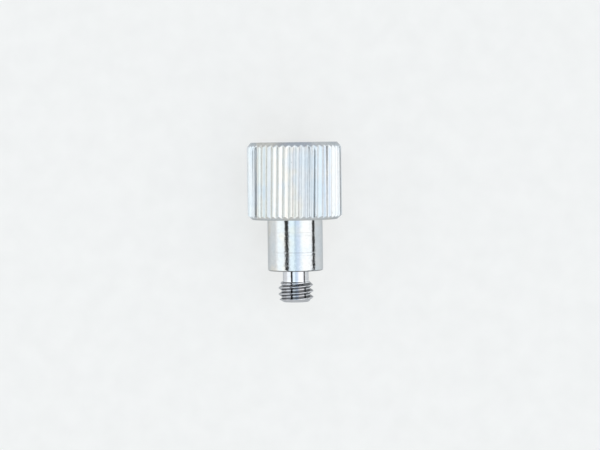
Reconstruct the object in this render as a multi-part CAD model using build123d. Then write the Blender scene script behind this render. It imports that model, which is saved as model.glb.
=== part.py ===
from build123d import *
from math import atan2, ceil, cos, pi, radians, sin, tan
import os

# Knurled thumb screw, lying on its side as it rests on a table. All lengths are in millimetres.
# The screw's axis is Y: the head's end points to +Y and the threaded tip to -Y, with +Z up.
# The origin is on the axis, in the plane of the bearing face under the head.

# Head
head_diameter = 10.6
head_length = 8.65
head_end_chamfer_depth = 0.36
head_end_chamfer_length = 0.46
bearing_chamfer_depth = 0.5
bearing_chamfer_length = 0.36

# Straight knurl: an even count puts a groove at the top and the bottom, so the head rests on two crests
knurl_teeth = 46
knurl_depth = 0.25
knurl_land = 0.14

# Shoulder
shoulder_diameter = 6.2
shoulder_length = 5.78
shoulder_edge_radius = 0.2

# Neck between the shoulder and the thread
neck_diameter = 2.9
neck_length = 1.22

# Metric thread, right-handed, with its depth and crest flat as shares of its pitch
thread_diameter = 3.95
thread_pitch = 0.7
thread_length = 2.3
thread_start_chamfer = 0.25
tip_chamfer = 0.3
thread_flank_angle = 30.0
thread_depth_share = 0.6134
crest_flat_share = 0.125

# Room by which a cutter runs past the face that it cuts
cut_overrun = 0.5

# Levels along the axis, from the bearing face
head_end = head_length
shoulder_end = -shoulder_length
thread_start = shoulder_end - neck_length
tip = thread_start - thread_length

head_radius = head_diameter / 2
shoulder_radius = shoulder_diameter / 2
neck_radius = neck_diameter / 2
thread_radius = thread_diameter / 2


def turned_blank():
    """The whole screw as it leaves the lathe, before it is knurled and threaded."""
    with BuildPart() as blank:
        with BuildSketch(Plane.XY):
            with BuildLine():
                Polyline(
                    (0, head_end),
                    (head_radius - head_end_chamfer_depth, head_end),
                    (head_radius, head_end - head_end_chamfer_length),
                    (head_radius, bearing_chamfer_length),
                    (head_radius - bearing_chamfer_depth, 0),
                    (shoulder_radius, 0),
                    (shoulder_radius, shoulder_end + shoulder_edge_radius),
                )
                RadiusArc(
                    (shoulder_radius, shoulder_end + shoulder_edge_radius),
                    (shoulder_radius - shoulder_edge_radius, shoulder_end),
                    shoulder_edge_radius,
                )
                Polyline(
                    (shoulder_radius - shoulder_edge_radius, shoulder_end),
                    (neck_radius, shoulder_end),
                    (neck_radius, thread_start),
                    (thread_radius - thread_start_chamfer, thread_start),
                    (thread_radius, thread_start - thread_start_chamfer),
                    (thread_radius, tip + tip_chamfer),
                    (thread_radius - tip_chamfer, tip),
                    (0, tip),
                    (0, head_end),
                )
            make_face()
        revolve(axis=Axis.Y)
    return blank.part


def knurl_waste():
    """What the knurling wheel presses out: the V grooves around the head, along its whole length."""
    half_pitch = pi / knurl_teeth
    root_radius = head_radius - knurl_depth
    # A flank runs from the groove's root, at angle 0, through the edge of the land at the head's radius
    edge_angle = half_pitch - knurl_land / head_diameter
    rise = head_radius * cos(edge_angle) - root_radius
    run = head_radius * sin(edge_angle)
    flank_angle = atan2(run, rise)
    # Two neighbouring flanks meet at a sharp crest outside the head, which the land then trims
    crest_radius = root_radius * sin(flank_angle) / sin(flank_angle - half_pitch)
    outline = []
    for tooth in range(knurl_teeth):
        root_angle = 2 * half_pitch * tooth
        crest_angle = root_angle + half_pitch
        outline.append((root_radius * cos(root_angle), root_radius * sin(root_angle)))
        outline.append((crest_radius * cos(crest_angle), crest_radius * sin(crest_angle)))
    with BuildPart() as waste:
        with BuildSketch(Plane.ZX.offset(-cut_overrun)):
            Circle(head_radius + cut_overrun)
            Polygon(*outline, align=None, mode=Mode.SUBTRACT)
        extrude(amount=head_length + 2 * cut_overrun)
    return waste.part


def thread_groove():
    """The V groove that the threading tool cuts, wound past both ends of the thread."""
    thread_depth = thread_depth_share * thread_pitch
    crest_flat = crest_flat_share * thread_pitch
    root_radius = thread_radius - thread_depth
    slope = tan(radians(thread_flank_angle))
    # The groove is drawn a little past the crest, by so little that its turns stay apart there
    reach = thread_depth + crest_flat / (4 * slope)
    mouth_half = (thread_pitch - crest_flat / 2) / 2
    root_half = mouth_half - reach * slope
    section = Plane.XZ.shift_origin((root_radius, 0, 0)) * Polygon(
        (0, -root_half), (reach, -mouth_half), (reach, mouth_half), (0, root_half), align=None
    )
    # One edge for each turn, and one turn more than the thread has at each end
    turns = ceil(thread_length / thread_pitch) + 2
    one_turn = Edge.make_helix(thread_pitch, thread_pitch, root_radius)
    path = Wire([Pos(0, 0, thread_pitch * turn) * one_turn for turn in range(turns)])
    groove = sweep(section, path=path, is_frenet=True)
    return Plane.ZX.offset(tip - thread_pitch) * groove


screw = turned_blank() - knurl_waste() - thread_groove()

os.makedirs("parts", exist_ok=True)
export_step(screw, "parts/thumb_screw.step")
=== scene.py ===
import math

import bmesh
import bpy
import numpy as np
from bpy.props import FloatProperty, FloatVectorProperty, IntProperty, PointerProperty
from mathutils import Matrix, Vector


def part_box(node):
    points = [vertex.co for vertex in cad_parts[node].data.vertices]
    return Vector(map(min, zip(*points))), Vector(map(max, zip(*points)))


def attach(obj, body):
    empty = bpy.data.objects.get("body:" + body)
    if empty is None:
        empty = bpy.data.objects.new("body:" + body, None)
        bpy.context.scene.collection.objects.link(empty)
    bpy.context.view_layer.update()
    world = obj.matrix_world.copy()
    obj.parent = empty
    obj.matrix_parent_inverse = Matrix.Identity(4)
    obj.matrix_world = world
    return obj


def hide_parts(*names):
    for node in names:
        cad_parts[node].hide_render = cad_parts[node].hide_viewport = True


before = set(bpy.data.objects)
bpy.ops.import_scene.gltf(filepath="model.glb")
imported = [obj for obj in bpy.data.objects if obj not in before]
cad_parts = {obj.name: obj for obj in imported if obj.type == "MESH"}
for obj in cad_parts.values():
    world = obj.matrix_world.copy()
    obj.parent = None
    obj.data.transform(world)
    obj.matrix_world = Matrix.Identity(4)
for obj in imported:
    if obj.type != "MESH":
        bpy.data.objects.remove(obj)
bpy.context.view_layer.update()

bl_info = {
    "name": "Knurled Thumb Screw",
    "version": (1, 0, 0),
    "blender": (4, 5, 0),
    "location": "3D View > Sidebar > Thumb Screw",
    "description": "Builds a zinc plated, straight knurled thumb screw and its soft studio stage",
    "category": "Object",
}

# The screw's axis is Y, with the head's end at +Y, the threaded tip at -Y and +Z up. The origin is on the
# axis, in the plane of the bearing face under the head. Lengths are in metres.
MM = 0.001
NODE = "thumb_screw"
LOW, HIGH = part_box(NODE)

# Columns around each section
SHOULDER_COLUMNS = 192
THREAD_COLUMNS = 160
TOOTH_COLUMNS = 20

# Rows along each section, and steps around each rounded edge
TOOTH_ROWS = 14
EDGE_ROWS = 2
FACE_ROWS = 4
SHOULDER_ROWS = 4
SHOULDER_END_ROWS = 3
NECK_ROWS = 6
ROWS_PER_PITCH = 36
ARC_STEPS = 3
SHOULDER_ARC_STEPS = 6

# Rounding that tumbling and plating leave on the turned edges
EDGE_ROUND = 0.04 * MM
SCALLOP_ROUND = 0.03 * MM
END_SCALLOP_ROUND = 0.3 * MM
SHOULDER_FILLET = 0.06 * MM
RING_ROUND = 0.008 * MM
NECK_FILLET = 0.1 * MM
THREAD_ROUND = 0.11 * MM
THREAD_EDGE_ROUND = 0.03 * MM

# Most of the shorter run beside a corner that its rounding may take
ROUND_ROOM_SHARE = 0.45

# Narrow rims of faces that keep the flats flat beside an edge, a fillet and the thread's ends
EDGE_RIM = 4 * EDGE_ROUND
NECK_RIM = 3 * NECK_FILLET
SHOULDER_END_RIM = 4 * NECK_FILLET
THREAD_END_RIM = 0.02 * MM

# How strongly the largest face around a vertex sets its normal
FLAT_BIAS = 6

# Share of the grooves' depth left at the head's end, and the length over which they fade to it
END_GROOVE_SHARE = 0.7
END_FADE = 0.5 * MM

# Share of the head's length, from the bearing face, at which the leaning knurl stands as in the solid
KNURL_TRUE_SHARE = 0.1

# One crest, counted from 0 to the right of the top groove, is bruised flat with a slight tilt. The depths are
# those at the head's end and at the bearing face.
BRUISED_CREST = 5
BRUISE_DEPTHS = (0.11 * MM, 0.05 * MM)
BRUISE_TILT = math.radians(5)

# Flank of the metric thread, from a plane across the axis
THREAD_FLANK_ANGLE = math.radians(30)

# Rings that the turning tool left on the shoulder: level along the axis, half width and depth
TOOL_RINGS = (
    (-1.42 * MM, 0.012 * MM, 0.011 * MM),
    (-1.78 * MM, 0.012 * MM, 0.011 * MM),
    (-3.65 * MM, 0.035 * MM, 0.032 * MM),
    (-3.97 * MM, 0.012 * MM, 0.011 * MM),
)

# Steps inwards on the flat faces, as shares of the face's outer radius
FACE_RING_SHARES = (0.7, 0.4, 0.1)


class KnurledHead(bpy.types.PropertyGroup):
    """Sizes of the knurled head"""

    diameter: FloatProperty(
        name="Diameter", description="Over the crests of the knurl", default=10.6 * MM, unit="LENGTH",
        precision=6)
    length: FloatProperty(
        name="Length", description="From the bearing face to the head's end", default=HIGH.y, unit="LENGTH",
        precision=6)
    end_chamfer_depth: FloatProperty(
        name="End Chamfer Depth", description="Radial depth of the chamfer at the head's end",
        default=0.45 * MM, unit="LENGTH", precision=6)
    end_chamfer_length: FloatProperty(
        name="End Chamfer Length", description="Length of the chamfer at the head's end along the axis",
        default=0.54 * MM, unit="LENGTH", precision=6)
    bearing_chamfer_depth: FloatProperty(
        name="Bearing Chamfer Depth", description="Radial depth of the chamfer at the bearing face",
        default=0.5 * MM, unit="LENGTH", precision=6)
    bearing_chamfer_length: FloatProperty(
        name="Bearing Chamfer Length",
        description="Length of the chamfer at the bearing face along the axis",
        default=0.46 * MM, unit="LENGTH", precision=6)
    teeth: IntProperty(name="Teeth", description="Teeth of the straight knurl", default=46, min=12)
    knurl_depth: FloatProperty(
        name="Knurl Depth", description="From a crest down to a root", default=0.243 * MM, unit="LENGTH",
        precision=6)
    knurl_rounding: FloatProperty(
        name="Knurl Rounding", description="How far the rounding of the crests and roots reaches",
        default=0.07 * MM, unit="LENGTH", precision=6)
    knurl_lean: FloatProperty(
        name="Knurl Lean",
        description="How far the knurl strays from the axis, turned over the head's length",
        default=math.radians(2.26), subtype="ANGLE", unit="ROTATION")


class SteppedShank(bpy.types.PropertyGroup):
    """Sizes of the shoulder, the neck and the thread"""

    shoulder_diameter: FloatProperty(
        name="Shoulder Diameter", description="Plain turned shoulder", default=6.2 * MM, unit="LENGTH",
        precision=6)
    shoulder_length: FloatProperty(
        name="Shoulder Length", description="From the bearing face to the neck", default=5.78 * MM,
        unit="LENGTH", precision=6)
    shoulder_edge: FloatProperty(
        name="Shoulder Edge", description="Radius on the shoulder's free edge", default=0.2 * MM,
        unit="LENGTH", precision=6)
    neck_diameter: FloatProperty(
        name="Neck Diameter", description="Reduced neck above the thread", default=2.9 * MM, unit="LENGTH",
        precision=6)
    neck_length: FloatProperty(
        name="Neck Length", description="From the shoulder to the thread", default=1.22 * MM, unit="LENGTH",
        precision=6)
    thread_diameter: FloatProperty(
        name="Thread Diameter", description="Over the crests of the thread", default=3.95 * MM,
        unit="LENGTH", precision=6)
    thread_pitch: FloatProperty(
        name="Thread Pitch", description="Rise of the right-hand thread in one turn", default=0.7 * MM,
        unit="LENGTH", precision=6)
    thread_chamfer: FloatProperty(
        name="Thread Start Chamfer", description="45 degree chamfer where the thread leaves the neck",
        default=0.45 * MM, unit="LENGTH", precision=6)
    tip_chamfer_depth: FloatProperty(
        name="Tip Chamfer Depth", description="Radial depth of the chamfer at the tip", default=0.6 * MM,
        unit="LENGTH", precision=6)
    tip_chamfer_length: FloatProperty(
        name="Tip Chamfer Length", description="Length of the chamfer at the tip along the axis",
        default=0.35 * MM, unit="LENGTH", precision=6)
    depth_share: FloatProperty(
        name="Thread Depth", description="Depth as a share of the pitch", default=0.6134, subtype="FACTOR")
    crest_share: FloatProperty(
        name="Crest Flat", description="Flat of the crest as a share of the pitch", default=0.125,
        subtype="FACTOR")


class ZincPlating(bpy.types.PropertyGroup):
    """Colours and gloss of the bright zinc plating"""

    base: FloatVectorProperty(
        name="Zinc", description="Main colour of the plating", default=(0.71, 0.725, 0.73), size=3,
        subtype="COLOR", min=0.0, max=1.0)
    blue: FloatVectorProperty(
        name="Blue Passivate", description="Bluish tint of the passivation", default=(0.68, 0.72, 0.745),
        size=3, subtype="COLOR", min=0.0, max=1.0)
    straw: FloatVectorProperty(
        name="Straw Passivate", description="Pale straw tint of the passivation",
        default=(0.765, 0.74, 0.69), size=3, subtype="COLOR", min=0.0, max=1.0)
    edge: FloatVectorProperty(
        name="Edge Tint", description="Tint of the plating where it is seen at a glancing angle",
        default=(0.72, 0.73, 0.74), size=3, subtype="COLOR", min=0.0, max=1.0)
    violet: FloatVectorProperty(
        name="Violet Passivate", description="Faint violet tint of the neck and the thread",
        default=(0.72, 0.72, 0.74), size=3, subtype="COLOR", min=0.0, max=1.0)
    gloss_low: FloatProperty(
        name="Least Roughness", description="Roughness where the plating is brightest", default=0.06,
        subtype="FACTOR", min=0.0, max=1.0)
    gloss_high: FloatProperty(
        name="Most Roughness", description="Roughness where the plating is dullest", default=0.13,
        subtype="FACTOR", min=0.0, max=1.0)
    knurl_dulling: FloatProperty(
        name="Knurl Dulling",
        description="How many times rougher the knurled head is than the turned shank",
        default=1.7, min=0.0)
    knurl_haze: FloatProperty(
        name="Knurl Haze",
        description="Share of the knurled head's light that its fine grain scatters",
        default=0.28, subtype="FACTOR", min=0.0, max=1.0)
    # Painted light: a lift of the knurled head's tone that stands in for the brighter light it gives back
    knurl_painted_light: FloatProperty(
        name="Knurl Painted Light",
        description="How many times brighter the knurled head is than the turned shank",
        default=1.12, min=0.0)


class StudioStage(bpy.types.PropertyGroup):
    """Floor, light tent and camera"""

    floor_colour: FloatVectorProperty(
        name="Floor", description="Colour of the plain pale floor", default=(0.90, 0.90, 0.886), size=3,
        subtype="COLOR", min=0.0, max=1.0)
    floor_plain_share: FloatProperty(
        name="Floor Plain Share", description="Share of the floor's tone that shadows leave alone",
        default=0.72, subtype="FACTOR", min=0.0, max=1.0)
    floor_size: FloatProperty(
        name="Floor Size", description="Side of the square floor", default=4.0, unit="LENGTH")
    tent_level: FloatProperty(
        name="Tent Level", description="Brightness of the light tent", default=1.0, min=0.0)
    camera_foot: FloatVectorProperty(
        name="Camera Foot", description="Point of the floor below the camera",
        default=(3.0 * MM, 9.97 * MM), size=2, unit="LENGTH", precision=6)
    camera_height: FloatProperty(
        name="Camera Height", description="Height of the camera over the floor", default=280 * MM,
        unit="LENGTH")
    camera_aim: FloatVectorProperty(
        name="Camera Aim", description="Point of the floor in the middle of the picture",
        default=(0.511 * MM, -0.876 * MM), size=2, unit="LENGTH", precision=6)
    camera_roll: FloatProperty(
        name="Camera Roll", description="Turn of the picture about the line of sight",
        default=math.radians(0.77), subtype="ANGLE", unit="ROTATION")
    lens: FloatProperty(
        name="Lens", description="Focal length on a 36 mm wide sensor", default=146.7, unit="CAMERA")


class RingSkin:
    """A skin made of rings of points, one after another along the screw."""

    def __init__(self):
        self.points = []
        self.faces = []
        self.last = None

    def add(self, points):
        """Adds a ring and joins it to the one before."""
        ring = list(range(len(self.points), len(self.points) + len(points)))
        self.points.extend(map(tuple, points))
        if self.last is not None:
            if len(self.last) == len(ring):
                self.join_equal(self.last, ring)
            else:
                self.join_unequal(self.last, ring)
        self.last = ring

    def join_equal(self, a, b):
        """Joins two rings of the same count with one strip of quads."""
        n = len(a)
        for i in range(n):
            j = (i + 1) % n
            self.faces.append((a[i], a[j], b[j], b[i]))

    def join_unequal(self, a, b):
        """Joins two rings of different counts on a flat face with one strip of triangles."""
        i = j = 0
        while i < len(a) or j < len(b):
            if j >= len(b) or (i < len(a) and (i + 1) * len(b) <= (j + 1) * len(a)):
                self.faces.append((a[i], a[(i + 1) % len(a)], b[j % len(b)]))
                i += 1
            else:
                self.faces.append((a[i % len(a)], b[(j + 1) % len(b)], b[j]))
                j += 1

    def point(self, place):
        """Closes the skin with a single point in the middle of a flat face."""
        tip = len(self.points)
        self.points.append(tuple(place))
        n = len(self.last)
        for i in range(n):
            self.faces.append((self.last[i], self.last[(i + 1) % n], tip))

    def start(self, place, ring_points):
        """Opens the skin with a single point and its first ring."""
        self.add(ring_points)
        tip = len(self.points)
        self.points.append(tuple(place))
        n = len(self.last)
        for i in range(n):
            self.faces.append((self.last[(i + 1) % n], self.last[i], tip))


def turn(angles, radius, level):
    """Points at these angles from +Z towards +X, on a radius and at a level along the axis."""
    radius = np.broadcast_to(radius, angles.shape)
    level = np.broadcast_to(level, angles.shape)
    return np.stack([radius * np.sin(angles), level, radius * np.cos(angles)], axis=1)


def unit(vectors):
    """The same directions with a length of 1."""
    return vectors / np.linalg.norm(vectors, axis=-1, keepdims=True)


def rounded_rows(corners, rounds, runs, steps=ARC_STEPS):
    """Rows of points along a path of straight runs with rounded corners.

    corners is a list of arrays of 2-D points, one point for each column. rounds gives each corner's
    radius, and runs the number of pieces that each straight run is cut into."""
    rows = [corners[0]]
    for k in range(1, len(corners)):
        here = corners[k]
        before = rows[-1]
        if k == len(corners) - 1 or rounds[k] == 0:
            arc = [here]
        else:
            back, ahead = corners[k - 1] - here, corners[k + 1] - here
            a, b = unit(back), unit(ahead)
            half = 0.5 * np.arccos(np.clip((a * b).sum(-1), -1, 1))
            shorter = np.minimum(np.linalg.norm(back, axis=-1), np.linalg.norm(ahead, axis=-1))
            cut = np.minimum(rounds[k] / np.tan(half), ROUND_ROOM_SHARE * shorter)
            radius = cut * np.tan(half)
            middle = here + unit(a + b) * (radius / np.sin(half))[:, None]
            first, last = here + a * cut[:, None] - middle, here + b * cut[:, None] - middle
            sweep = math.pi - 2 * half
            arc = []
            for s in range(steps + 1):
                t = s / steps
                weight = np.sin(np.stack([(1 - t) * sweep, t * sweep])) / np.sin(sweep)
                arc.append(middle + first * weight[0][:, None] + last * weight[1][:, None])
        for s in range(1, runs[k - 1]):
            rows.append(before + (arc[0] - before) * (s / runs[k - 1]))
        rows.extend(arc)
    return rows


def knurl_section(head):
    """Angles and radii of the columns around the knurled head, from a crest beside the top groove."""
    radius = head.diameter / 2
    half_pitch = math.pi / head.teeth
    # Way along the circumference from a groove's root to a crest
    way = radius * half_pitch
    steps = np.arange(TOOTH_COLUMNS) / TOOTH_COLUMNS
    off_crest = 2 * way * np.minimum(steps, 1 - steps)
    off_root = way - off_crest
    shape = np.hypot(off_root, head.knurl_rounding) - np.hypot(off_crest, head.knurl_rounding) + off_crest
    depth = (shape.max() - shape) / (shape.max() - shape.min())
    turns = half_pitch * (1 + 2 * np.arange(head.teeth))[:, None]
    angles = (turns + 2 * half_pitch * steps).ravel()
    return angles, np.tile(radius - head.knurl_depth * depth, head.teeth)


def bruise_crest(head, angles, radii):
    """Radii of the columns at the head's end and at the bearing face, with one crest bruised."""
    radius = head.diameter / 2
    half_pitch = math.pi / head.teeth
    off_bruise = angles - (1 + 2 * BRUISED_CREST) * half_pitch
    beside = np.abs(off_bruise) < half_pitch
    tilt = radius * off_bruise * math.tan(BRUISE_TILT)
    return [np.where(beside, np.minimum(radii, radius - depth + tilt), radii) for depth in BRUISE_DEPTHS]


def skin_head(skin, head):
    """The end face, the knurled barrel with its scalloped chamfers, and the rim of the bearing face."""
    angles, radii = knurl_section(head)
    upper, lower = bruise_crest(head, angles, radii)
    radius = head.diameter / 2
    end = head.length
    end_edge = radius - head.end_chamfer_depth
    end_slope = head.end_chamfer_length / head.end_chamfer_depth
    bearing_edge = radius - head.bearing_chamfer_depth
    slope = head.bearing_chamfer_length / head.bearing_chamfer_depth
    even = np.arange(SHOULDER_COLUMNS) * 2 * math.pi / SHOULDER_COLUMNS
    skin.start((0, end, 0), turn(even, end_edge * FACE_RING_SHARES[-1], end))
    for share in reversed(FACE_RING_SHARES[:-1]):
        skin.add(turn(even, end_edge * share, end))
    skin.add(turn(even, end_edge - 2 * EDGE_RIM, end))

    def corner(across, along):
        """One corner of the outline in every column, at a radius and at a level along the axis."""
        return np.stack(np.broadcast_arrays(across, along, angles)[:2], axis=1)

    end_radii = radius - END_GROOVE_SHARE * (radius - upper)
    end_level = end - end_slope * (end_radii - end_edge)
    corners = [
        corner(end_edge - EDGE_RIM, end),
        corner(end_edge, end),
        corner(end_radii, end_level),
        corner(upper, end_level - END_FADE),
        corner(lower, slope * (lower - bearing_edge)),
        corner(bearing_edge, 0.0),
        corner(bearing_edge - EDGE_RIM, 0.0),
    ]
    rounds = (0, EDGE_ROUND, END_SCALLOP_ROUND, 0, SCALLOP_ROUND, EDGE_ROUND, 0)
    runs = (EDGE_ROWS, EDGE_ROWS, EDGE_ROWS, TOOTH_ROWS, EDGE_ROWS, EDGE_ROWS)
    for row in rounded_rows(corners, rounds, runs):
        lean = head.knurl_lean * (row[:, 1] / end - KNURL_TRUE_SHARE)
        skin.add(turn(angles + lean, row[:, 0], row[:, 1]))
    return bearing_edge - 2 * EDGE_RIM


def skin_shoulder(skin, shank, rim):
    """The bearing face inside its rim, the plain shoulder with its tool rings, and the shoulder's end."""
    even = np.arange(SHOULDER_COLUMNS) * 2 * math.pi / SHOULDER_COLUMNS
    radius = shank.shoulder_diameter / 2
    end = -shank.shoulder_length
    neck = shank.neck_diameter / 2
    path = [(rim, 0.0), (radius, 0.0)]
    rounds = [0, SHOULDER_FILLET]
    runs = [FACE_ROWS]
    for level, half_width, depth in TOOL_RINGS:
        path += [(radius, level + half_width), (radius - depth, level), (radius, level - half_width)]
        rounds += [RING_ROUND, 0, RING_ROUND]
        runs += [SHOULDER_ROWS, 1, 1]
    path += [(radius, end), (neck + SHOULDER_END_RIM, end)]
    rounds += [shank.shoulder_edge, 0]
    runs += [SHOULDER_ROWS, SHOULDER_END_ROWS]
    for row in rounded_rows([np.array([p]) for p in path], rounds, runs, SHOULDER_ARC_STEPS):
        skin.add(turn(even, row[0, 0], row[0, 1]))


def soft_floor(value, floor, blur):
    """The larger of two values, with a rounded change from one to the other."""
    return 0.5 * (value + floor + np.sqrt((value - floor) ** 2 + blur ** 2))


def soft_ceiling(value, ceiling, blur):
    """The smaller of two values, with a rounded change from one to the other."""
    return 0.5 * (value + ceiling - np.sqrt((value - ceiling) ** 2 + blur ** 2))


def thread_height(shank, angles, level, start, tip):
    """Radius of the threaded part at these angles and this level along the axis."""
    pitch = shank.thread_pitch
    depth = shank.depth_share * pitch
    steepness = 1 / math.tan(THREAD_FLANK_ANGLE)
    crest_half = shank.crest_share * pitch / 2
    sharp = crest_half * steepness
    crest = shank.thread_diameter / 2
    # The rounding takes this much off the crest, so the thread is drawn as much larger
    crest = crest + 0.5 * (math.hypot(sharp, THREAD_ROUND) - sharp)
    phase = ((level - tip) / pitch - angles / (2 * math.pi)) % 1.0
    off_groove = np.minimum(phase, 1 - phase) * pitch
    flank = crest - (pitch / 2 - crest_half - off_groove) * steepness
    height = soft_floor(flank, crest - depth, THREAD_ROUND)
    height = soft_ceiling(height, crest, THREAD_ROUND)
    start_cone = crest - shank.thread_chamfer + (start - level)
    height = soft_ceiling(height, start_cone, THREAD_EDGE_ROUND)
    tip_slope = shank.tip_chamfer_depth / shank.tip_chamfer_length
    tip_cone = crest - shank.tip_chamfer_depth + tip_slope * (level - tip)
    return soft_ceiling(height, tip_cone, THREAD_EDGE_ROUND)


def skin_thread(skin, shank):
    """The neck, the thread that starts from it, and the tip."""
    angles = np.arange(THREAD_COLUMNS) * 2 * math.pi / THREAD_COLUMNS
    neck = shank.neck_diameter / 2
    shoulder_end = -shank.shoulder_length
    start = shoulder_end - shank.neck_length
    tip = LOW.y
    path = [(neck + NECK_RIM, shoulder_end), (neck, shoulder_end), (neck, start)]
    for row in rounded_rows([np.array([p]) for p in path], (0, NECK_FILLET, 0), (EDGE_ROWS, NECK_ROWS)):
        skin.add(turn(angles, row[0, 0], row[0, 1]))
    first = thread_height(shank, angles, start, start, tip)
    skin.add(turn(angles, neck + THREAD_END_RIM, start))
    skin.add(turn(angles, first - THREAD_END_RIM, start))
    count = round((start - tip) / shank.thread_pitch * ROWS_PER_PITCH)
    for k in range(count + 1):
        level = start + (tip - start) * k / count
        skin.add(turn(angles, thread_height(shank, angles, level, start, tip), level))
    last = thread_height(shank, angles, tip, start, tip)
    skin.add(turn(angles, last - THREAD_END_RIM, tip))
    for share in FACE_RING_SHARES:
        skin.add(turn(angles, last.min() * share, tip))
    skin.point((0, tip, 0))


def keep_flats_flat(mesh):
    """Turns each vertex normal towards the largest face around it.

    So the flats stay flat beside rounded edges."""
    count = len(mesh.polygons)
    area = np.empty(count)
    facing = np.empty(3 * count)
    sides = np.empty(count, dtype=np.int32)
    corner = np.empty(len(mesh.loops), dtype=np.int32)
    mesh.polygons.foreach_get("area", area)
    mesh.polygons.foreach_get("normal", facing)
    mesh.polygons.foreach_get("loop_total", sides)
    mesh.loops.foreach_get("vertex_index", corner)
    face = np.repeat(np.arange(count), sides)
    largest = np.zeros(len(mesh.vertices))
    np.maximum.at(largest, corner, area[face])
    weight = (area[face] / largest[corner]) ** FLAT_BIAS
    normals = np.zeros((len(mesh.vertices), 3))
    np.add.at(normals, corner, facing.reshape(-1, 3)[face] * weight[:, None])
    mesh.normals_split_custom_set_from_vertices(unit(normals))


def screw_mesh(head, shank):
    """One closed skin from the middle of the head's end to the middle of the tip."""
    skin = RingSkin()
    rim = skin_head(skin, head)
    skin_shoulder(skin, shank, rim)
    skin_thread(skin, shank)
    mesh = bpy.data.meshes.new("thumb_screw_plated")
    mesh.from_pydata(skin.points, [], skin.faces)
    shell = bmesh.new()
    shell.from_mesh(mesh)
    bmesh.ops.recalc_face_normals(shell, faces=shell.faces)
    shell.to_mesh(mesh)
    shell.free()
    mesh.shade_smooth()
    keep_flats_flat(mesh)
    return mesh


class NodeBoard:
    """Short names for adding shader nodes and their links."""

    def __init__(self, tree):
        self.tree = tree
        tree.nodes.clear()

    def add(self, kind, inputs=None, **settings):
        """A new node, with its settings made and its inputs linked or set."""
        node = self.tree.nodes.new(kind)
        for key, value in settings.items():
            setattr(node, key, value)
        for key, value in (inputs or {}).items():
            if isinstance(value, bpy.types.NodeSocket):
                self.tree.links.new(value, node.inputs[key])
            else:
                node.inputs[key].default_value = value
        return node

    def math(self, operation, a, b=0.0):
        """One operation on one or two values."""
        return self.add("ShaderNodeMath", {0: a, 1: b}, operation=operation).outputs[0]

    def product(self, first, *others):
        """All the values multiplied."""
        for other in others:
            first = self.math("MULTIPLY", first, other)
        return first

    def spread(self, value, low, high, to_low=0.0, to_high=1.0, smooth=False):
        """A value moved from one range to another, and held at its ends."""
        kind = "SMOOTHSTEP" if smooth else "LINEAR"
        ends = {0: value, 1: low, 2: high, 3: to_low, 4: to_high}
        return self.add("ShaderNodeMapRange", ends, interpolation_type=kind).outputs[0]

    def blend(self, factor, a, b, kind="MIX"):
        """Two colours mixed."""
        node = self.add("ShaderNodeMix", {0: factor, 6: a, 7: b}, data_type="RGBA", blend_type=kind)
        return node.outputs[2]

    def grey(self, value):
        """A value as a grey colour."""
        return self.add("ShaderNodeCombineColor", {0: value, 1: value, 2: value}).outputs[0]

    def noise(self, vector, scale, detail, roughness=0.5):
        """Soft noise in space."""
        inputs = {"Vector": vector, "Scale": scale, "Detail": detail, "Roughness": roughness}
        return self.add("ShaderNodeTexNoise", inputs).outputs["Fac"]


def opaque(colour):
    """A colour with full alpha."""
    return (*colour, 1.0)


# Part of the noise's range that is used
NOISE_SPAN = (0.3, 0.7)

# Where the plating's look changes along the axis: two places in mm, counted from the bearing face
HEAD_ZONE = (0.0, 0.3)
SHANK_ZONE = (0.0, -0.2)
BEARING_ZONE = (-0.02, 0.0)
BEARING_CHAMFER_ZONE = (0.6, 0.5)
CHATTER_ZONE = (-0.6, -5.0)
# The same, counted from the head's end
END_CHAMFER_ZONE = (-0.75, -0.55)
# The same, counted from the shoulder's end
EDGE_ZONE = (0.28, 0.18)
EDGE_FACE_ZONE = (0.02, 0.0)
NECK_TINT_ZONE = (0.08, -0.12)
NECK_ZONE = (-0.02, -0.12)
# The same, counted from the thread's start
THREAD_ZONE = (0.2, 0.0)
# The same, counted from the tip
TIP_ZONE = (0.4, 0.3)

# Where the look changes with how far a face looks along the axis, from 0 on a barrel to 1 on a flat end
PAINTED_SHADE_FACING = (0.45, 0.82)
EDGE_FACING = (0.25, 0.6)
CHAMFER_FACING = (0.3, 0.6)
NOT_FLAT_FACING = (0.95, 0.85)
FLAT_FACING = (0.95, 1.0)
CREST_FACING = (0.7, 0.3)

# Share of the tone taken off as painted shade, which stands in for the darker surroundings that these faces
# reflect: on all that look along the axis, on the thread's flanks on top of that, on the shoulder's free edge
# and end, and on the head's chamfers
AXIAL_PAINTED_SHADE = 0.24
FLANK_PAINTED_SHADE = 0.31
EDGE_PAINTED_SHADE = 0.65
EDGE_FACE_PAINTED_SHADE = 0.26
BEARING_CHAMFER_PAINTED_SHADE = 0.3
END_CHAMFER_PAINTED_SHADE = 0.32
# Share of the tone that the thread's crests and roots gain as a painted highlight
CREST_PAINTED_HIGHLIGHT = 0.28

# Passivation: scale per mm and detail of its drift, the drift at which each tint starts and is full, the
# places across the head, in mm, between which the drift is pulled from one tint to the other, and how far
DRIFT_NOISE = (0.35, 2.0)
BLUE_DRIFT = (0.52, 0.68)
STRAW_DRIFT = (0.48, 0.34)
DRIFT_SIDES = ((-4.0, -4.5), (-1.0, 2.0))
DRIFT_PULL = (-0.16, 0.1)

# Scale per mm, detail and roughness of the clouded tone and of the grain, and the tones of the clouds
CLOUD_NOISE = (2.6, 4.0, 0.6)
CLOUD_TONES = (0.94, 1.03)
GRAIN_NOISE = (6.0, 3.0, 0.6)
# Roughness of the neck and the thread as a share of the shoulder's
NECK_ROUGHNESS_SHARE = 0.3

# Turning marks: their noise, the part of it that shows as tones on flat faces, and the depths in metres on a
# barrel and on a flat face
TURNING_NOISE = (3.0, 4.0, 0.65)
RING_SPAN = (0.35, 0.65)
RING_TONES = (-0.06, 0.04)
TURNING_DEPTHS = (2.0e-6, 8.0e-6)

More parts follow.
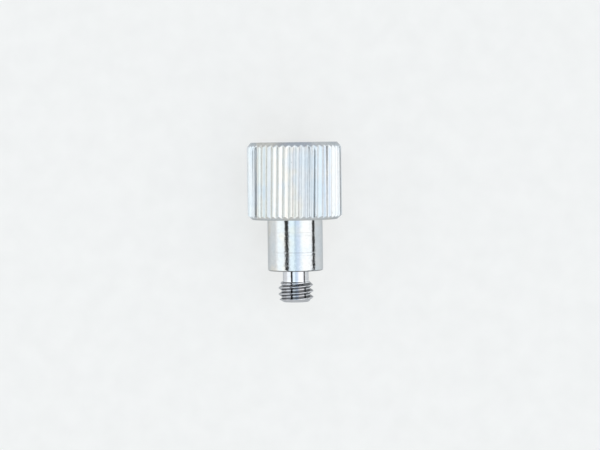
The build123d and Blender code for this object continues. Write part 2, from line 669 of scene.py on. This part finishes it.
# Ripple of the tool's chatter: waves per mm along each axis, noise, depth in metres, its strengths on the
# head and the shank, its growth along the shoulder and its share on the neck
CHATTER_WAVES = (2.4, 6.0, 2.4)
CHATTER_NOISE = (1.0, 3.0, 0.55)
CHATTER_DEPTH = 2.0e-5
CHATTER_STRENGTHS = (0.15, 0.5)
CHATTER_GROWTH = (1.0, 2.6)
NECK_CHATTER_SHARE = 0.2

# Specks: cells per mm, the reach in cells at which they start and are full, the chance that a cell has none,
# and their tone
SPECK_CELLS = 0.7
SPECK_REACH = (0.06, 0.03)
SPECK_CHANCE = 0.6
SPECK_TONE = 0.35


class ZincBoard(NodeBoard):
    """Shader nodes of the zinc plating, with places on the screw in mm."""

    def __init__(self, tree, plating, head, shank):
        super().__init__(tree)
        self.plating = plating
        self.head_end = head.length / MM
        self.shoulder_end = -shank.shoulder_length / MM
        self.thread_start = self.shoulder_end - shank.neck_length / MM
        self.tip = LOW.y / MM
        surface = self.add("ShaderNodeTexCoord").outputs
        to_mm = {0: surface["Object"], "Scale": 1 / MM}
        self.place = self.add("ShaderNodeVectorMath", to_mm, operation="SCALE").outputs[0]
        self.axes = self.add("ShaderNodeSeparateXYZ", {0: self.place}).outputs
        normal = self.add("ShaderNodeSeparateXYZ", {0: surface["Normal"]}).outputs
        self.facing = self.math("ABSOLUTE", normal[1])
        self.flat = self.spread(self.facing, *FLAT_FACING)
        self.marks = self.turning_marks()

    def zone(self, level, places, to_low=0.0, to_high=1.0):
        """A value that changes along the axis between two places, which are counted from a level."""
        low, high = places
        return self.spread(self.axes[1], level + low, level + high, to_low, to_high)

    def turning_marks(self):
        """Marks that run around the axis on the barrel and in circles on the flat faces."""
        across = self.add("ShaderNodeCombineXYZ", {0: self.axes[0], 2: self.axes[2]}).outputs[0]
        radius = self.add("ShaderNodeVectorMath", {0: across}, operation="LENGTH").outputs["Value"]
        along = self.math("ADD", self.axes[1], radius)
        scale, detail, roughness = TURNING_NOISE
        inputs = {"W": along, "Scale": scale, "Detail": detail, "Roughness": roughness}
        return self.add("ShaderNodeTexNoise", inputs, noise_dimensions="1D").outputs["Fac"]

    def tint(self):
        """Passivation tints that drift slowly over the surface."""
        plating = self.plating
        sides = [self.spread(self.axes[0], *side, *DRIFT_PULL) for side in DRIFT_SIDES]
        pull = self.product(self.math("MAXIMUM", *sides), self.zone(0.0, HEAD_ZONE))
        drift = self.math("ADD", self.noise(self.place, *DRIFT_NOISE), pull)
        blue = self.spread(drift, *BLUE_DRIFT, smooth=True)
        straw = self.spread(drift, *STRAW_DRIFT, smooth=True)
        tint = self.blend(blue, opaque(plating.base), opaque(plating.blue))
        tint = self.blend(straw, tint, opaque(plating.straw))
        return self.blend(self.zone(self.shoulder_end, NECK_TINT_ZONE), tint, opaque(plating.violet))

    def painted_shade(self, on_thread):
        """Painted shade: share of the tone taken off the faces that look along the axis and off the turned
        edges, standing in for the darker surroundings that they reflect.
        """
        # Painted shade on the thread's flanks and on all faces that look along the axis, which stands in for
        # the dark ends of the surroundings that they reflect
        flanks = self.product(on_thread, self.zone(self.tip, TIP_ZONE, FLANK_PAINTED_SHADE, 0.0))
        flats = self.product(
            self.math("ADD", flanks, AXIAL_PAINTED_SHADE),
            self.spread(self.facing, *PAINTED_SHADE_FACING))
        # Painted shade on the shoulder's free edge and end, which stands in for the dark reflection seen
        # there
        edge = self.product(
            self.zone(self.shoulder_end, EDGE_ZONE),
            self.zone(self.shoulder_end, EDGE_FACE_ZONE, EDGE_PAINTED_SHADE, EDGE_FACE_PAINTED_SHADE),
            self.spread(self.facing, *EDGE_FACING))
        # Painted shade on the head's bearing and end chamfers, which stands in for the dark reflections seen
        # there
        bearing_chamfer = self.product(
            self.zone(0.0, BEARING_ZONE),
            self.zone(0.0, BEARING_CHAMFER_ZONE, 0.0, BEARING_CHAMFER_PAINTED_SHADE))
        end_chamfer = self.zone(self.head_end, END_CHAMFER_ZONE, 0.0, END_CHAMFER_PAINTED_SHADE)
        chamfers = self.product(
            self.math("MAXIMUM", bearing_chamfer, end_chamfer),
            self.spread(self.facing, *NOT_FLAT_FACING),
            self.spread(self.facing, *CHAMFER_FACING))
        return self.math("MAXIMUM", self.math("MAXIMUM", flats, edge), chamfers)

    def specks(self):
        """A few tiny specks."""
        cells = self.add("ShaderNodeTexVoronoi", {"Vector": self.place, "Scale": SPECK_CELLS}).outputs
        chance = self.add("ShaderNodeSeparateColor", {0: cells["Color"]}).outputs[0]
        return self.product(
            self.spread(cells["Distance"], *SPECK_REACH),
            self.math("GREATER_THAN", chance, SPECK_CHANCE))

    def tone(self):
        """How bright the plating is, with its clouds, painted shade on the faces along the axis and on the
        edges, painted highlights on the thread's crests, the knurled head's painted lift, turned rings and
        specks.
        """
        on_thread = self.zone(self.thread_start, THREAD_ZONE)
        # Painted highlight on the thread's crests and roots
        painted_crest_highlight = self.product(on_thread, self.spread(self.facing, *CREST_FACING, 0.0, CREST_PAINTED_HIGHLIGHT))
        rings = self.product(self.flat, self.spread(self.marks, *RING_SPAN, *RING_TONES))
        return self.product(
            self.spread(self.noise(self.place, *CLOUD_NOISE), *NOISE_SPAN, *CLOUD_TONES),
            # Less the painted shade
            self.math("SUBTRACT", 1.0, self.painted_shade(on_thread)),
            # Plus the painted highlight on the crests
            self.math("ADD", 1.0, painted_crest_highlight),
            # Painted light that lifts the knurled head's tone
            self.zone(0.0, HEAD_ZONE, 1.0, self.plating.knurl_painted_light),
            self.math("ADD", 1.0, rings),
            self.spread(self.specks(), 0.0, 1.0, 1.0, SPECK_TONE))

    def roughness(self):
        """Gloss that varies with the plating's grain, duller on the knurl and brighter from the neck on."""
        plating = self.plating
        grain = self.noise(self.place, *GRAIN_NOISE)
        return self.product(
            self.spread(grain, *NOISE_SPAN, plating.gloss_low, plating.gloss_high),
            self.zone(0.0, HEAD_ZONE, 1.0, plating.knurl_dulling),
            self.zone(self.shoulder_end, NECK_ZONE, 1.0, NECK_ROUGHNESS_SHARE))

    def relief(self):
        """Fine turning marks and, on the shoulder, the ripple of the tool's chatter."""
        depth = self.spread(self.flat, 0.0, 1.0, *TURNING_DEPTHS)
        marks = {"Strength": 1.0, "Distance": depth, "Height": self.marks}
        turned = self.add("ShaderNodeBump", marks).outputs[0]
        waves = {0: self.place, 1: CHATTER_WAVES}
        ripple = self.add("ShaderNodeVectorMath", waves, operation="MULTIPLY").outputs[0]
        chatter = {
            "Strength": self.product(
                self.zone(0.0, SHANK_ZONE, *CHATTER_STRENGTHS),
                self.zone(0.0, CHATTER_ZONE, *CHATTER_GROWTH),
                self.zone(self.shoulder_end, NECK_ZONE, 1.0, NECK_CHATTER_SHARE)),
            "Distance": CHATTER_DEPTH,
            "Height": self.noise(ripple, *CHATTER_NOISE),
            "Normal": turned,
        }
        return self.add("ShaderNodeBump", chatter).outputs[0]


def zinc_material(plating, head, shank):
    """Bright zinc plate with a faint blue and straw passivation, turning marks and a few specks, and with
    painted shade, painted highlights and painted light in its tone.
    """
    material = bpy.data.materials.new("bright_zinc_plate")
    material.use_nodes = True
    board = ZincBoard(material.node_tree, plating, head, shank)
    shader = board.add("ShaderNodeBsdfPrincipled", {
        "Base Color": board.blend(1.0, board.tint(), board.grey(board.tone()), "MULTIPLY"),
        "Metallic": board.zone(0.0, HEAD_ZONE, 1.0, 1.0 - plating.knurl_haze),
        "Roughness": board.roughness(),
        "Normal": board.relief(),
        "Specular Tint": opaque(plating.edge),
    })
    board.add("ShaderNodeOutputMaterial", {"Surface": shader.outputs[0]})
    return material


# Mottling of the floor: scale per metre and detail of its noise, and its tones
MOTTLE_NOISE = (400.0, 3.0)
MOTTLE_TONES = (0.985, 1.015)
# How much of the floor's plain share the screw reflects
MIRRORED_SHARE = 0.7


def floor_material(stage):
    """Plain pale matt floor with the least mottling.

    It shows partly its own colour and partly the light that falls on it."""
    material = bpy.data.materials.new("pale_floor")
    material.use_nodes = True
    board = NodeBoard(material.node_tree)
    place = board.add("ShaderNodeTexCoord").outputs["Object"]
    mottle = board.spread(board.noise(place, *MOTTLE_NOISE), *NOISE_SPAN, *MOTTLE_TONES)
    colour = board.blend(1.0, opaque(stage.floor_colour), board.grey(mottle), "MULTIPLY")
    matt = board.add("ShaderNodeBsdfDiffuse", {"Color": colour})
    plain = board.add("ShaderNodeEmission", {"Color": colour, "Strength": 1.0})
    rays = board.add("ShaderNodeLightPath").outputs
    mirrored = board.product(rays["Is Glossy Ray"], MIRRORED_SHARE)
    seen = board.math("MAXIMUM", rays["Is Camera Ray"], mirrored)
    share = board.product(seen, stage.floor_plain_share)
    mixed = board.add("ShaderNodeMixShader", {0: share, 1: matt.outputs[0], 2: plain.outputs[0]})
    board.add("ShaderNodeOutputMaterial", {"Surface": mixed.outputs[0]})
    return material


# Light tent seen across the screw: angle from straight up, positive to the right, with its colour there
TENT_BANDS = (
    (-180, (0.60, 0.60, 0.60)),
    (-100, (0.88, 0.88, 0.88)),
    (-91, (0.95, 0.95, 0.95)),
    (-84, (1.12, 1.14, 1.15)),
    (-76, (1.28, 1.36, 1.40)),
    (-58, (1.28, 1.36, 1.40)),
    (-45, (1.20, 1.27, 1.32)),
    (-27, (1.10, 1.24, 1.38)),
    (-14, (1.12, 1.30, 1.38)),
    (-4, (1.08, 1.26, 1.36)),
    (-1, (0.70, 0.86, 1.00)),
    (1, (0.62, 0.78, 0.93)),
    (3.5, (0.82, 0.99, 1.18)),
    (17, (0.92, 1.05, 1.26)),
    (24, (1.22, 1.32, 1.38)),
    (34, (1.42, 1.42, 1.41)),
    (60, (1.42, 1.42, 1.42)),
    (72, (1.25, 1.27, 1.29)),
    (180, (0.60, 0.60, 0.60)),
)
# Open slits in the tent, each from one angle to another, with the width of their soft edges and their colour
TENT_SLITS = ((-44, -27.2), (76, 90))
SLIT_EDGE = 1.2
SLIT_COLOUR = (0.04, 0.04, 0.04)
# The tent's dim ends: colour, and how far along the axis a direction points where they start and are full
TENT_ENDS = (
    ((0.58, 0.64, 0.74), (0.3, 0.85)),
    ((0.10, 0.10, 0.11), (-0.86, -0.98)),
)
# Width of the camera's sensor in mm, and the nearest and farthest distance that it shows, in metres
SENSOR_WIDTH = 36.0
CAMERA_CLIP = (0.01, 20.0)


def light_tent(stage):
    """A white light tent around the screw, open in two slits along it and dim at its ends."""
    world = bpy.data.worlds.new("light_tent")
    bpy.context.scene.world = world
    world.use_nodes = True
    board = NodeBoard(world.node_tree)
    direction = board.add("ShaderNodeTexCoord").outputs["Generated"]
    axes = board.add("ShaderNodeSeparateXYZ", {0: direction}).outputs
    angle = board.math("DEGREES", board.math("ARCTAN2", axes[0], axes[2]))
    first, last = TENT_BANDS[0][0], TENT_BANDS[-1][0]
    bands = board.add("ShaderNodeValToRGB", {0: board.spread(angle, first, last)})
    ramp = bands.color_ramp
    places = [(at - first) / (last - first) for at, colour in TENT_BANDS]
    for place in places[1:-1]:
        ramp.elements.new(place)
    for stop, place, (at, colour) in zip(ramp.elements, places, TENT_BANDS):
        stop.position = place
        stop.color = opaque(colour)
    tone = bands.outputs[0]
    for low, high in TENT_SLITS:
        into = board.spread(angle, low - SLIT_EDGE, low + SLIT_EDGE, smooth=True)
        out = board.spread(angle, high - SLIT_EDGE, high + SLIT_EDGE, 1.0, 0.0, smooth=True)
        tone = board.blend(board.product(into, out), tone, opaque(SLIT_COLOUR))
    for colour, fade in TENT_ENDS:
        tone = board.blend(board.spread(axes[1], *fade, smooth=True), tone, opaque(colour))
    light = board.add("ShaderNodeBackground", {"Color": tone, "Strength": stage.tent_level})
    board.add("ShaderNodeOutputWorld", {"Surface": light.outputs[0]})


def stage_floor(stage):
    """A square floor at the screw's lowest level."""
    half = stage.floor_size / 2
    mesh = bpy.data.meshes.new("floor")
    corners = [(-half, -half, LOW.z), (half, -half, LOW.z), (half, half, LOW.z), (-half, half, LOW.z)]
    mesh.from_pydata(corners, [], [(0, 1, 2, 3)])
    mesh.materials.append(floor_material(stage))
    floor = bpy.data.objects.new("floor", mesh)
    bpy.context.scene.collection.objects.link(floor)


def stage_camera(stage):
    """A camera that looks down on the screw."""
    camera = bpy.data.cameras.new("camera")
    camera.lens = stage.lens
    camera.sensor_width = SENSOR_WIDTH
    camera.clip_start, camera.clip_end = CAMERA_CLIP
    eye = Vector((*stage.camera_foot, LOW.z + stage.camera_height))
    aim = Vector((*stage.camera_aim, LOW.z))
    back = (eye - aim).normalized()
    up = Vector((math.sin(stage.camera_roll), math.cos(stage.camera_roll), 0))
    right = up.cross(back).normalized()
    up = back.cross(right)
    holder = bpy.data.objects.new("camera", camera)
    holder.matrix_world = Matrix.Translation(eye) @ Matrix((right, up, back)).transposed().to_4x4()
    bpy.context.scene.collection.objects.link(holder)
    bpy.context.scene.camera = holder


class SCREW_OT_make(bpy.types.Operator):
    """Build the plated thumb screw as one closed skin"""

    bl_idname = "thumb_screw.make_screw"
    bl_label = "Make Thumb Screw"

    def execute(self, context):
        scene = context.scene
        head, shank = scene.screw_head, scene.screw_shank
        mesh = screw_mesh(head, shank)
        mesh.materials.append(zinc_material(scene.screw_plating, head, shank))
        screw = bpy.data.objects.new("plated_screw", mesh)
        scene.collection.objects.link(screw)
        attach(screw, "root")
        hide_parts(NODE)
        return {"FINISHED"}


class SCREW_OT_stage(bpy.types.Operator):
    """Set the floor, the light tent and the camera"""

    bl_idname = "thumb_screw.make_stage"
    bl_label = "Make Stage"

    def execute(self, context):
        stage = context.scene.screw_stage
        stage_floor(stage)
        light_tent(stage)
        stage_camera(stage)
        context.scene.view_settings.view_transform = "Standard"
        return {"FINISHED"}


class SCREW_PT_panel(bpy.types.Panel):
    """Sizes, colours and makers of the thumb screw"""

    bl_idname = "SCREW_PT_panel"
    bl_label = "Thumb Screw"
    bl_space_type = "VIEW_3D"
    bl_region_type = "UI"
    bl_category = "Thumb Screw"

    def draw(self, context):
        layout = self.layout
        for name, settings in SETTINGS:
            group = getattr(context.scene, name)
            box = layout.box()
            box.label(text=settings.__doc__)
            for key in settings.__annotations__:
                box.prop(group, key)
        layout.operator(SCREW_OT_make.bl_idname)
        layout.operator(SCREW_OT_stage.bl_idname)


SETTINGS = (
    ("screw_head", KnurledHead),
    ("screw_shank", SteppedShank),
    ("screw_plating", ZincPlating),
    ("screw_stage", StudioStage),
)
CLASSES = (*(settings for name, settings in SETTINGS), SCREW_OT_make, SCREW_OT_stage, SCREW_PT_panel)


def register():
    for cls in CLASSES:
        bpy.utils.register_class(cls)
    for name, settings in SETTINGS:
        setattr(bpy.types.Scene, name, PointerProperty(type=settings))


def unregister():
    for name, settings in SETTINGS:
        delattr(bpy.types.Scene, name)
    for cls in reversed(CLASSES):
        bpy.utils.unregister_class(cls)


def main():
    """Builds the screw and its stage."""
    register()
    bpy.ops.thumb_screw.make_screw()
    bpy.ops.thumb_screw.make_stage()


if __name__ == "__main__":
    main()
